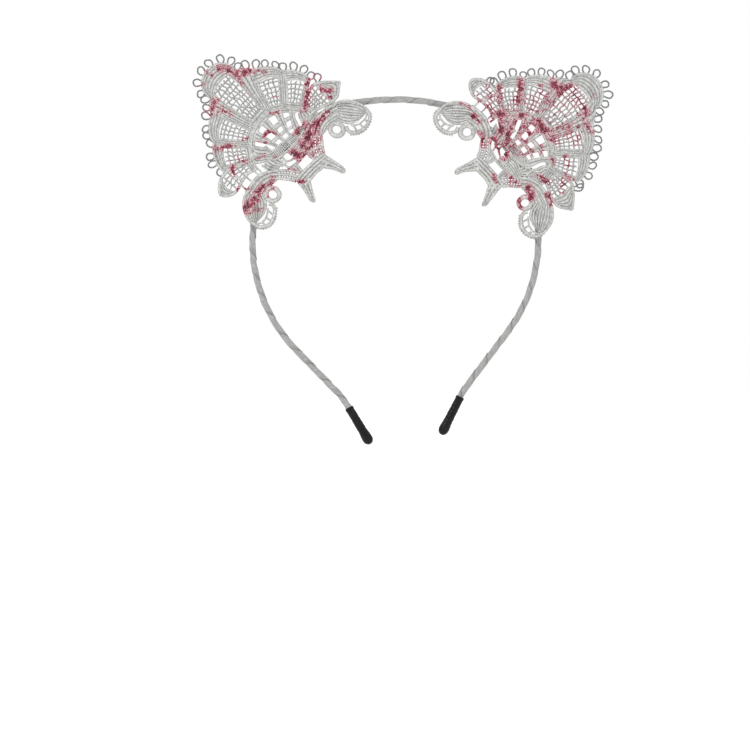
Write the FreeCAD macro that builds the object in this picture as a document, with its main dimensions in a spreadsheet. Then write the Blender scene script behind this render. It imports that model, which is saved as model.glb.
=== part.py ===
import FreeCAD, Part
import Sketcher
import math
import os

# Lace cat-ear headband, as worn: +Z is up and the ears face -Y. Left and right are as seen from
# in front, so left is -X. The origin is the inside of the band at its crown, on the head.
# Millimetres and degrees. A heading is the band's direction of travel away from the crown:
# 0 is level, 90 straight down, and more than 90 comes back in towards the neck.

DIMENSIONS = (
    # the spring wire and the ribbon wound round it
    ("wire_radius", 1.0),
    ("ribbon_clearance", 0.03),
    ("wrap_radius", 1.35),
    ("span_gap", 0.4),
    # the band's curve
    ("left_crown_radius", 120.0),
    ("right_crown_radius", 92.0),
    ("left_shoulder_start", 9.0),
    ("right_shoulder_start", 12.0),
    ("left_shoulder_radius", 42.4),
    ("right_shoulder_radius", 50.0),
    ("left_shoulder_end", 38.1),
    ("right_shoulder_end", 46.0),
    ("left_side_radius", 69.2),
    ("right_side_radius", 68.0),
    ("left_side_end", 134.2),
    ("right_side_end", 127.0),
    ("left_straight_run", 26.0),
    ("right_straight_run", 29.4),
    ("tip_flare_radius", 40.0),
    ("left_tip_heading", 121.0),
    ("right_tip_heading", 117.0),
    ("left_leg_start", 85.0),
    ("right_leg_start", 88.0),
    # the push-on tip caps
    ("cap_length", 19.0),
    ("cap_bore_clearance", 0.05),
    ("cap_bore_depth", 14.0),
    ("cap_mouth_radius", 1.95),
    ("cap_lip_length", 1.6),
    ("cap_neck_radius", 1.85),
    ("cap_bulb_radius", 2.4),
    ("cap_bulb_start", 12.5),
    # where each ear stands on the band
    ("left_ear_across", -48.6),
    ("left_ear_up", -20.9),
    ("left_ear_lean", 45.0),
    ("right_ear_across", 52.7),
    ("right_ear_up", -24.0),
    ("right_ear_lean", 50.6),
    ("lace_thickness", 1.1),
    ("lace_standoff", 0.3),
    # the lace motif: a fan of petals round the hub, by angle from the ear's axis
    ("hub_radius", 17.5),
    ("hub_base", -1.5),
    ("hub_base_half_width", 7.5),
    ("tip_seam", 17.5),
    ("upper_seam", 41.0),
    ("lower_seam", 66.0),
    ("corner_seam", 88.0),
    ("tip_valley", 39.0),
    ("upper_valley", 33.6),
    ("lower_valley", 31.0),
    ("corner_foot", 27.0),
    ("tip_reach", 49.6),
    ("tip_shoulder_height", 44.0),
    ("tip_neck_height", 40.5),
    ("tip_half_width", 8.0),
    ("upper_reach", 36.2),
    ("lower_reach", 32.6),
    ("corner_reach", 36.8),
    ("corner_reach_angle", 80.0),
    # the scrolls and the forked tail below the hub
    ("end_curl_radius", 6.0),
    ("lobe_radius", 4.0),
    ("lobe_eyelet_radius", 1.6),
    ("curl_eyelet_radius", 1.0),
    ("prong_reach", -25.6),
    ("prong_spread", 9.6),
    ("prong_radius", 1.3),
    # the looped edging and the stitches that hold the lace on the band
    ("picot_radius", 1.75),
    ("picot_thread_radius", 0.3),
    ("picot_count", 31.0),
    ("stitch_radius", 2.5),
    ("stitch_thread_radius", 0.25),
)

# Each side's stitches, by the band's heading where they go round it.
STITCH_HEADINGS = {"left": (16.0, 24.0, 43.0, 61.0, 77.0), "right": (17.0, 28.0, 44.0, 63.0, 80.0)}
SIDES = {"left": -1, "right": 1}
LINK_HALF_LAP = 0.02

doc = FreeCAD.newDocument("CatEarHeadband")
sheet = doc.addObject("Spreadsheet::Sheet", "Sheet")
for row, (alias, value) in enumerate(DIMENSIONS, start=1):
    sheet.set(f"A{row}", alias)
    sheet.set(f"B{row}", str(value))
    sheet.setAlias(f"B{row}", alias)
doc.recompute()

nodes = []


def size(alias):
    return float(sheet.get(alias))


def node(thing, label):
    """Names a finished sub-part and puts it on the list of pieces to write."""
    thing.Label = label
    nodes.append(thing)
    return thing


def point(x, z, y=0.0):
    return FreeCAD.Vector(x, y, z)


# ---------------------------------------------------------------- the band's centreline


def outward(side, heading):
    """The unit vector that points out of the band's curve where it has this heading."""
    a = math.radians(heading)
    return point(SIDES[side] * math.sin(a), math.cos(a))


def travel(side, heading):
    """The unit vector along the band, away from the crown."""
    a = math.radians(heading)
    return point(SIDES[side] * math.cos(a), -math.sin(a))


def bends(side):
    """The three bends from crown to leg: (first heading, last heading, radius, centre)."""
    crown, shoulder = size(f"{side}_crown_radius"), size(f"{side}_shoulder_radius")
    body = size(f"{side}_side_radius")
    start, end = size(f"{side}_shoulder_start"), size(f"{side}_shoulder_end")
    crown_centre = point(0, size("wrap_radius") - crown)
    shoulder_centre = crown_centre + outward(side, start) * (crown - shoulder)
    side_centre = shoulder_centre + outward(side, end) * (shoulder - body)
    return (
        (0.0, start, crown, crown_centre),
        (start, end, shoulder, shoulder_centre),
        (end, size(f"{side}_side_end"), body, side_centre),
    )


def on_band(side, heading):
    """The centreline's point at a heading."""
    for first, last, radius, centre in bends(side):
        if first <= heading <= last:
            return centre + outward(side, heading) * radius
    raise ValueError(heading)


def gap_angle(side, heading):
    """Half the gap between two spans, as an angle of the bend that it lies on."""
    radius = next(r for first, last, r, _ in bends(side) if first <= heading <= last)
    return math.degrees(size("span_gap") / 2 / radius)


def arc(side, first, last):
    middle = on_band(side, (first + last) / 2)
    return Part.Arc(on_band(side, first), middle, on_band(side, last)).toShape()


def crown_path():
    """From the left shoulder over the top to the right one: one bend each side of the crown."""
    left, right = (size(f"{side}_shoulder_start") for side in SIDES)
    left -= gap_angle("left", left)
    right -= gap_angle("right", right)
    return Part.Wire([arc("left", left, 0.0), arc("right", 0.0, right)])


def shoulder_path(side):
    start, middle, end = (size(f"{side}_{place}") for place in ("shoulder_start", "shoulder_end", "leg_start"))
    first = start + gap_angle(side, start + 0.01)
    return Part.Wire([arc(side, first, middle), arc(side, middle, end - gap_angle(side, end))])


def cap_mouth(side):
    """Where the leg's flare ends and the cap's mouth begins."""
    end = size(f"{side}_side_end")
    knee = on_band(side, end) + travel(side, end) * size(f"{side}_straight_run")
    centre = knee + outward(side, end) * size("tip_flare_radius")
    return centre - outward(side, size(f"{side}_tip_heading")) * size("tip_flare_radius")


def leg_path(side):
    start, end = size(f"{side}_leg_start"), size(f"{side}_side_end")
    tip = size(f"{side}_tip_heading")
    flare = size("tip_flare_radius")
    hip = on_band(side, end)
    knee = hip + travel(side, end) * size(f"{side}_straight_run")
    centre = knee + outward(side, end) * flare
    half_way = centre - outward(side, (end + tip) / 2) * flare
    mouth = cap_mouth(side)
    inside_cap = mouth + travel(side, tip) * (size("cap_bore_depth") - 0.5)
    return Part.Wire(
        [
            arc(side, start + gap_angle(side, start), end),
            Part.LineSegment(hip, knee).toShape(),
            Part.Arc(knee, half_way, mouth).toShape(),
            Part.LineSegment(mouth, inside_cap).toShape(),
        ]
    )


def swept(name, path, radius_expression):
    """A round bar of the given radius along a path object."""
    first = path.Shape.Edges[0]
    start, direction = first.valueAt(first.FirstParameter), first.tangentAt(first.FirstParameter)
    section = doc.addObject("Part::Circle", f"{name}_section")
    section.setExpression("Radius", radius_expression)
    section.Placement = FreeCAD.Placement(start, FreeCAD.Rotation(point(0, 1), direction))
    bar = doc.addObject("Part::Sweep", name)
    bar.Sections = [section]
    bar.Spine = (path, [f"Edge{i + 1}" for i in range(len(path.Shape.Edges))])
    bar.Solid = True
    return bar


def band_span(name, wire):
    """One span of the band: the spring wire, and the ribbon wound round it as a sleeve."""
    path = doc.addObject("Part::Feature", f"{name}_path")
    path.Shape = wire
    node(swept(f"{name}_wire_bar", path, "Sheet.wire_radius"), f"{name}_wire")
    sleeve = doc.addObject("Part::Cut", f"{name}_sleeve")
    sleeve.Base = swept(f"{name}_outside", path, "Sheet.wrap_radius")
    sleeve.Tool = swept(f"{name}_inside", path, "Sheet.wire_radius + Sheet.ribbon_clearance")
    node(sleeve, f"{name}_ribbon_wrap")


# ---------------------------------------------------------------- bodies made from sketches


def origin_plane(body, role):
    return next(plane for plane in body.Origin.OriginFeatures if plane.Role == role)


def sketch(body, name, loops):
    """A sketch on the body's XZ plane that holds closed loops of lines, arcs and circles."""
    drawing = body.newObject("Sketcher::SketchObject", name)
    drawing.AttachmentSupport = [(origin_plane(body, "XZ_Plane"), "")]
    drawing.MapMode = "FlatFace"
    for loop in loops:
        drawing.addGeometry(loop, False)
    return drawing


def flat(u, v):
    """A sketch's own point."""
    return FreeCAD.Vector(u, v, 0)


def outline(points):
    """A closed loop. A point given as ('arc', u, v) is passed on the way to the next one."""
    corners = points + [points[0]]
    loop, last, i = [], flat(*corners[0]), 1
    while i < len(corners):
        if corners[i][0] == "arc":
            through, following = flat(*corners[i][1:]), flat(*corners[i + 1])
            loop.append(Part.Arc(last, through, following))
            i += 1
        else:
            following = flat(*corners[i])
            loop.append(Part.LineSegment(last, following))
        last = following
        i += 1
    return loop


def disc(u, v, radius):
    return [Part.Circle(flat(u, v), FreeCAD.Vector(0, 0, 1), radius)]


def pad(body, name, loops):
    solid = body.newObject("PartDesign::Pad", name)
    solid.Profile = sketch(body, f"{name}_sketch", loops)
    solid.setExpression("Length", "Sheet.lace_thickness")
    return solid


def pocket(body, name, loops):
    """Eyelets through the plate, with the volume checked, since a pocket can miss the solid."""
    doc.recompute()
    before = body.Shape.Volume
    holes = body.newObject("PartDesign::Pocket", name)
    holes.Profile = sketch(body, f"{name}_sketch", loops)
    holes.Type = 1
    holes.Reversed = True
    doc.recompute()
    if body.Shape.Volume > before - 0.5:
        raise ValueError(f"{name} cuts nothing")
    return holes


def ear_placement(side):
    """The ear's own frame: its axis up, the hub's centre at the origin, the back face at y 0."""
    lean = SIDES[side] * size(f"{side}_ear_lean")
    place = point(
        size(f"{side}_ear_across"),
        size(f"{side}_ear_up") + size("wrap_radius"),
        -size("wrap_radius") - size("lace_standoff"),
    )
    return FreeCAD.Placement(place, FreeCAD.Rotation(FreeCAD.Vector(0, 1, 0), lean))


def lace_plate(side, label, outlines, eyelets=()):
    """One embroidered element of an ear: a plate of one or more joined outlines."""
    name = f"{side}_ear_{label}"
    body = doc.addObject("PartDesign::Body", f"{name}_body")
    for i, loop in enumerate(outlines, start=1):
        pad(body, f"{name}_pad_{i}", [loop])
    if eyelets:
        pocket(body, f"{name}_eyelets", list(eyelets))
    body.Placement = ear_placement(side)
    node(body, name)


def polar(reach, angle, hand):
    """A point of the fan, by its reach from the hub and its angle from the ear's axis."""
    a = math.radians(angle)
    return (hand * reach * math.sin(a), reach * math.cos(a))


def via(pair):
    return ("arc", *pair)


def petals(side, hand, which):
    """The upper, lower and corner petals on one hand of the ear, each with a rounded end."""
    hub = size("hub_radius")
    tip, upper, lower, corner = (size(f"{s}_seam") for s in ("tip", "upper", "lower", "corner"))
    lace_plate(
        side,
        f"upper_{which}_petal",
        [
            outline(
                [
                    polar(hub, tip, hand),
                    polar(size("tip_valley"), tip, hand),
                    via(polar(size("upper_reach"), (tip + upper) / 2, hand)),
                    polar(size("upper_valley"), upper, hand),
                    polar(hub, upper, hand),
                ]
            )
        ],
    )
    lace_plate(
        side,
        f"lower_{which}_petal",
        [
            outline(
                [
                    polar(hub, upper, hand),
                    polar(size("upper_valley"), upper, hand),
                    via(polar(size("lower_reach"), (upper + lower) / 2, hand)),
                    polar(size("lower_valley"), lower, hand),
                    polar(hub, lower, hand),
                ]
            )
        ],
    )
    lace_plate(
        side,
        f"corner_{which}_petal",
        [
            outline(
                [
                    polar(hub, lower, hand),
                    polar(size("lower_valley"), lower, hand),
                    via(polar(size("corner_reach"), size("corner_reach_angle"), hand)),
                    polar(size("corner_foot"), corner, hand),
                    polar(hub, corner, hand),
                ]
            )
        ],
    )


def tip_petal(side):
    hub, seam = size("hub_radius"), size("tip_seam")
    wide, neck, crest = size("tip_half_width"), size("tip_neck_height"), size("tip_shoulder_height")
    right = [polar(hub, seam, 1), polar(size("tip_valley"), seam, 1), (wide, neck), (wide, crest)]
    left = [(-u, v) for u, v in reversed(right)]
    lace_plate(side, "tip_petal", [outline(right + [("arc", 0.0, size("tip_reach"))] + left)])


def fan_hub(side):
    """The many-sided hub that the petals stand on, down to its straight base."""
    hub, base = size("hub_radius"), size("hub_base")
    seams = [size(f"{s}_seam") for s in ("tip", "upper", "lower", "corner")]
    right = [polar(hub, seam, 1) for seam in seams] + [(size("hub_base_half_width"), base)]
    left = [(-u, v) for u, v in reversed(right)]
    lace_plate(side, "fan_hub", [outline(right + left)])


def scroll(side, hand, which):
    """The three-cord arc from the tail to the ear's end, with its lobe and its end curl."""
    base, half = size("hub_base"), size("hub_base_half_width")
    foot = polar(size("corner_foot"), size("corner_seam"), 1)
    arcs = [
        (half, base),
        (17.5, 0.4),
        (foot[0], foot[1] - 0.5),
        ("arc", 33.6, -3.4),
        (35.6, -12.0),
        (24.6, -11.4),
        ("arc", 24.4, -8.6),
        (22.6, -7.6),
        (17.2, -8.4),
        (16.4, -5.6),
        ("arc", 11.6, -7.9),
        (7.6, -15.2),
        (5.2, -15.2),
        (5.2, -12.0),
        (half, -6.5),
    ]
    lobe, curl = (20.2, -10.9), (29.8, -14.5)
    eyelets = [disc(hand * lobe[0], lobe[1] - 0.6, size("lobe_eyelet_radius"))]
    for turn in (0, 120, 240):
        u = curl[0] + 3.4 * math.cos(math.radians(turn - 50))
        v = curl[1] + 3.4 * math.sin(math.radians(turn - 50))
        eyelets.append(disc(hand * u, v, size("curl_eyelet_radius")))
    mirrored = [(*p[:-2], hand * p[-2], p[-1]) for p in arcs]
    lace_plate(
        side,
        f"{which}_scroll",
        [
            outline(mirrored),
            disc(hand * lobe[0], lobe[1], size("lobe_radius")),
            disc(hand * curl[0], curl[1], size("end_curl_radius")),
        ],
        eyelets,
    )


def forked_tail(side):
    """The cross band under the hub, the neck, and the two satin-stitched prongs."""
    base, half = size("hub_base"), size("hub_base_half_width")
    reach, spread, tip = size("prong_reach"), size("prong_spread"), size("prong_radius")
    right = [
        (half, base),
        (half, -6.5),
        (5.2, -12.0),
        (5.2, -15.2),
        ("arc", spread - 1.0, -20.2),
        (spread + tip, reach + tip),
        ("arc", spread, reach),
        (spread - tip, reach + tip),
    ]
    mirrored = [(*p[:-2], -p[-2], p[-1]) for p in reversed(right)]
    inner_arch = [("arc", 0.0, -17.5)]
    gap = outline([(4.5, -1.9), (4.5, -3.6), (-4.5, -3.6), (-4.5, -1.9)])
    window = outline([(2.7, -8.7), (2.7, -11.7), (-2.7, -11.7), (-2.7, -8.7)])
    lace_plate(side, "forked_tail", [outline(right + inner_arch + mirrored)], [gap, window])


def edge_of_ear(side_of_axis):
    """The petals' outer edge from the ear's tip down to the corner petal's point, as a wire."""

    def at(reach, angle):
        return flat(*polar(size(reach), angle, side_of_axis))

    tip, upper, lower = (size(f"{s}_seam") for s in ("tip", "upper", "lower"))
    wide, neck, crest = size("tip_half_width"), size("tip_neck_height"), size("tip_shoulder_height")
    shoulder = flat(side_of_axis * wide, crest)
    opposite = flat(-side_of_axis * wide, crest)
    whole_tip = Part.Arc(opposite, flat(0, size("tip_reach")), shoulder).toShape()
    middle = (whole_tip.FirstParameter + whole_tip.LastParameter) / 2
    half_tip = whole_tip.Curve.toShape(middle, whole_tip.LastParameter)
    neck_point = flat(side_of_axis * wide, neck)
    first, second, third = at("tip_valley", tip), at("upper_valley", upper), at("lower_valley", lower)
    corner = at("corner_reach", size("corner_reach_angle"))
    whole_corner = Part.Arc(third, corner, at("corner_foot", size("corner_seam"))).toShape()
    until = whole_corner.Curve.parameter(corner)
    if until < whole_corner.FirstParameter:
        until += 2 * math.pi
    return Part.Wire(
        [
            half_tip,
            Part.LineSegment(shoulder, neck_point).toShape(),
            Part.LineSegment(neck_point, first).toShape(),
            Part.Arc(first, at("upper_reach", (tip + upper) / 2), second).toShape(),
            Part.Arc(second, at("lower_reach", (upper + lower) / 2), third).toShape(),
            whole_corner.Curve.toShape(whole_corner.FirstParameter, until),
        ]
    )


def group(name, things):
    rings = doc.addObject("Part::Compound", f"{name}_group")
    rings.Links = things
    node(rings, name)
    return rings


def picot_edging(side):
    """The loops of thread that stand along the petals' outer edge, from corner to corner."""
    per_hand = int((size("picot_count") - 1) / 2)
    step_out = size("picot_radius") + size("picot_thread_radius") + LINK_HALF_LAP
    middle = -size("lace_thickness") / 2
    places = [flat(0, size("tip_reach") + step_out)]
    for hand in (-1, 1):
        path = edge_of_ear(hand).discretize(Number=per_hand * 8 + 5)
        for k in range(1, per_hand + 1):
            here = path[k * 8]
            along = path[k * 8 + 2] - path[k * 8 - 2]
            normal = flat(hand * -along.y, hand * along.x).normalize()
            places.append(here + normal * step_out)
    loops = []
    for i, place in enumerate(places, start=1):
        loop = doc.addObject("Part::Torus", f"{side}_picot_{i}")
        loop.setExpression("Radius1", "Sheet.picot_radius")
        loop.setExpression("Radius2", "Sheet.picot_thread_radius")
        local = FreeCAD.Placement(
            point(place.x, place.y, middle), FreeCAD.Rotation(FreeCAD.Vector(1, 0, 0), 90)
        )
        loop.Placement = ear_placement(side).multiply(local)
        loops.append(loop)
    group(f"{side}_ear_picot_edging", loops)


def binding_stitches(side):
    """Loops of thread round the band and through the lace in front of it."""
    back = size("wrap_radius") - size("stitch_radius") + size("stitch_thread_radius") + 0.25
    loops = []
    for i, heading in enumerate(STITCH_HEADINGS[side], start=1):
        loop = doc.addObject("Part::Torus", f"{side}_stitch_{i}")
        loop.setExpression("Radius1", "Sheet.stitch_radius")
        loop.setExpression("Radius2", "Sheet.stitch_thread_radius")
        middle = on_band(side, heading) + FreeCAD.Vector(0, back, 0)
        turn = FreeCAD.Rotation(FreeCAD.Vector(0, 0, 1), travel(side, heading))
        loop.Placement = FreeCAD.Placement(middle, turn)
        loops.append(loop)
    group(f"{side}_ear_binding_stitches", loops)


def tip_cap(side):
    """A push-on rubber cap: a rolled lip, a neck that grips the ribbon, and a bulb end."""
    body = doc.addObject("PartDesign::Body", f"{side}_cap_body")
    bore = size("wrap_radius") + size("cap_bore_clearance")
    lip, neck, bulb = size("cap_mouth_radius"), size("cap_neck_radius"), size("cap_bulb_radius")
    length, full = size("cap_length"), size("cap_bulb_start")
    profile = outline(
        [
            (bore, 0.0),
            (lip - 0.2, 0.0),
            ("arc", lip, size("cap_lip_length") / 2),
            (neck, size("cap_lip_length")),
            (bulb, full),
            (bulb, length - bulb),
            ("arc", bulb * math.sqrt(0.5), length - bulb + bulb * math.sqrt(0.5)),
            (0.0, length),
            (0.0, size("cap_bore_depth")),
            (bore, size("cap_bore_depth")),
        ]
    )
    turned = body.newObject("PartDesign::Revolution", f"{side}_cap_turned")
    turned.Profile = sketch(body, f"{side}_cap_profile", [profile])
    turned.ReferenceAxis = (turned.Profile[0], ["V_Axis"])
    turned.Angle = 360.0
    direction = travel(side, size(f"{side}_tip_heading"))
    body.Placement = FreeCAD.Placement(
        cap_mouth(side), FreeCAD.Rotation(FreeCAD.Vector(0, 0, 1), direction)
    )
    node(body, f"{side}_tip_cap")


band_span("crown", crown_path())
for side, sign in SIDES.items():
    band_span(f"{side}_shoulder", shoulder_path(side))
    band_span(f"{side}_leg", leg_path(side))
    tip_cap(side)
    fan_hub(side)
    tip_petal(side)
    for which, hand in (("inner", -sign), ("outer", sign)):
        petals(side, hand, which)
        scroll(side, hand, which)
    forked_tail(side)
    picot_edging(side)
    binding_stitches(side)

doc.recompute()
for thing in doc.Objects:
    if "Invalid" in thing.State or "Error" in thing.State:
        raise ValueError(f"{thing.Name} did not build: {thing.State}")
for thing in nodes:
    if thing.Shape.isNull() or not thing.Shape.isValid() or not thing.Shape.Solids:
        raise ValueError(f"{thing.Label} has no valid solid")

os.makedirs("parts", exist_ok=True)
for thing in nodes:
    thing.Shape.exportStep(f"parts/{thing.Label}.step")
    print(f"{thing.Label}: {len(thing.Shape.Solids)} solid(s), {thing.Shape.Volume:.1f} mm3")
for side in SIDES:
    hinge = on_band(side, size(f"{side}_shoulder_start"))
    knee = on_band(side, size(f"{side}_leg_start"))
    tip = cap_mouth(side) + travel(side, size(f"{side}_tip_heading")) * size("cap_length")
    print(side, "shoulder", hinge, "leg", knee, "tip", tip)
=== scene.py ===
from math import atan2, copysign, cos, degrees, hypot, pi, radians, sin

import bpy
import numpy as np
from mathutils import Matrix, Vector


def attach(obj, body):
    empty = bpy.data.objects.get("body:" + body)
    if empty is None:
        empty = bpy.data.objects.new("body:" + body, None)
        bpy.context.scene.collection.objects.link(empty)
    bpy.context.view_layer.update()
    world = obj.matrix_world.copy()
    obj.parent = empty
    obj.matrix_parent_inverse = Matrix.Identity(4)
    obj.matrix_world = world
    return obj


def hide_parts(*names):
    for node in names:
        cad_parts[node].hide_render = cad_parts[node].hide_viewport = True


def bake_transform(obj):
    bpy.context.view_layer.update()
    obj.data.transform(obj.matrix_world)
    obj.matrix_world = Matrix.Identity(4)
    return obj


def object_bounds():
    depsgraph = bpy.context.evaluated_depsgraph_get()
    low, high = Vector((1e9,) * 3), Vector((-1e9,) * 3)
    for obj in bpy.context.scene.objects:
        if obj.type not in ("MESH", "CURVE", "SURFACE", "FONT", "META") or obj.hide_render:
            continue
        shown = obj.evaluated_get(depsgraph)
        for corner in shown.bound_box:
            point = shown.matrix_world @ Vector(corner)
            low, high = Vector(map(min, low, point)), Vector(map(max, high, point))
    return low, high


# Looks for the lace cat-ear headband. Working sizes are millimetres and degrees; mesh points are
# turned into metres as each piece is made. Each ear has its own frame: u across, v up along the
# ear's axis from the fan's hub, w out of the lace towards the viewer.

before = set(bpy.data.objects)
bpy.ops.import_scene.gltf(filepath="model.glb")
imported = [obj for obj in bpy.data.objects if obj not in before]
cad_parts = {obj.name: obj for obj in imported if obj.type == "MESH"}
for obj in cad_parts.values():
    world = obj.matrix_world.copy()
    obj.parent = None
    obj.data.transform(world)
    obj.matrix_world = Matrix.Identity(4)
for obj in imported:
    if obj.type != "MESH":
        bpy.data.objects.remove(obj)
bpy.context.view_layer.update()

MM = 0.001
ROUND = 2 * pi
SIDES = {"left": -1, "right": 1}

# The band's centreline, side by side: its bends as (radius, heading where it ends), then a straight
# run, the flare before the cap, and the run inside the cap. A heading of 0 is level, 90 straight down.
WRAP_RADIUS = 1.35
BENDS = {
    "left": ((120, 9), (42.4, 38.1), (69.2, 134.2)),
    "right": ((92, 12), (50, 46), (68, 127)),
}
STRAIGHT_RUN = {"left": 26, "right": 29.4}
FLARE_RADIUS = 40
TIP_HEADING = {"left": 121, "right": 117}
RUN_IN_CAP = 13
SHOULDER_HINGE = {"left": 9, "right": 12}
LEG_HINGE = {"left": 85, "right": 88}
STITCHED_AT = {"left": (16, 24, 43, 61, 77), "right": (17, 28, 44, 63, 80)}

# Each ear's frame: where its hub's centre stands (x, z), its lean, and how far the fan turns in it.
EAR_FOOT = {"left": (-48.6, -19.55), "right": (52.7, -22.65)}
EAR_LEAN = {"left": -45, "right": 50.6}
FAN_TURN = {"left": -1.7, "right": -0.9}
LACE_MIDDLE = 2.25

# The unevenness of worn lace: in its plane, out of its plane, and how far back the tip leans.
SHIFT, SHIFT_REACH = 0.28, 7
BILLOW, BILLOW_REACH = 0.22, 12
TIP_LEAN, TIP_LEAN_SPAN = 2.2, (14, 60)
EAR_SEED = {"left": 11, "right": 29}

# The fan of petals: the seams between them by angle, and how far out each valley between them lies.
HUB_RADIUS = 17.5
SEAMS = (17.5, 41, 66)
VALLEYS = (39.4, 33.4, 30.8)

# Embroidery: the pitch of satin stitches, the steps that model them, and the two-ply net thread.
STITCH = 0.5
STEP = 0.125
NET_RADIUS = 0.33
NET_SIZES = (0.85, 1.2)
NET_LIFT = -0.15
PLY_LAY = 1.5
PICOT_RADIUS = 0.36
PICOT_PITCH = 4.25
PICOT_START = 2.15
BINDING_RADIUS = 0.17

# An element's flat outline is found on a grid of this cell, and closes gaps of up to twice the reach, which
# is in cells.
OUTLINE_CELL = 0.05
OUTLINE_REACH = 24


# ---- numbers


def ripple(u, v, reach, seed):
    """A smooth, irregular field of about -1 to 1, with humps about the given reach across."""
    draw = np.random.default_rng(seed)
    total = 0
    for _ in range(5):
        angle, phase = draw.uniform(0, ROUND, 2)
        wave = pi / (reach * draw.uniform(0.7, 1.6))
        total = total + np.sin(wave * (u * cos(angle) + v * sin(angle)) + phase)
    return total / 3


def smoothstep(low, high, x):
    t = np.clip((x - low) / (high - low), 0, 1)
    return t * t * (3 - 2 * t)


def lengths(points):
    """The distance run from the first point to each point."""
    return np.concatenate([[0], np.cumsum(np.linalg.norm(np.diff(points, axis=0), axis=1))])


def divide(points, count):
    """A line divided evenly into the given number of points."""
    run = lengths(points)
    at = np.linspace(0, run[-1], count)
    return np.stack([np.interp(at, run, column) for column in points.T], axis=1)


def curve(points, count=None):
    """A smooth line through given points, evenly divided."""
    p = np.asarray(points, float)
    if len(p) > 2:
        padded = np.vstack([2 * p[0] - p[1], p, 2 * p[-1] - p[-2]])
        a, b, c, d = padded[:-3], padded[1:-2], padded[2:-1], padded[3:]
        t = np.linspace(0, 1, 17)[:-1, None, None]
        bend, twist = 2 * a - 5 * b + 4 * c - d, 3 * b - a - 3 * c + d
        spans = 0.5 * (2 * b + (c - a) * t + bend * t**2 + twist * t**3)
        p = np.vstack([spans.transpose(1, 0, 2).reshape(-1, p.shape[1]), p[-1:]])
    return divide(p, count or max(4, int(lengths(p)[-1] / STEP)))


def along(points):
    """Unit vectors along a line, and to its left."""
    ahead = np.gradient(points, axis=0)
    ahead /= np.linalg.norm(ahead, axis=1, keepdims=True)
    return ahead, np.stack([-ahead[:, 1], ahead[:, 0]], axis=1)


def spread(value, count):
    """One number, or a few that change evenly along a line, as one number for each point."""
    values = np.atleast_1d(np.asarray(value, float))
    return np.interp(np.linspace(0, 1, count), np.linspace(0, 1, len(values)), values)


# ---- threads and fillings


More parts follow.
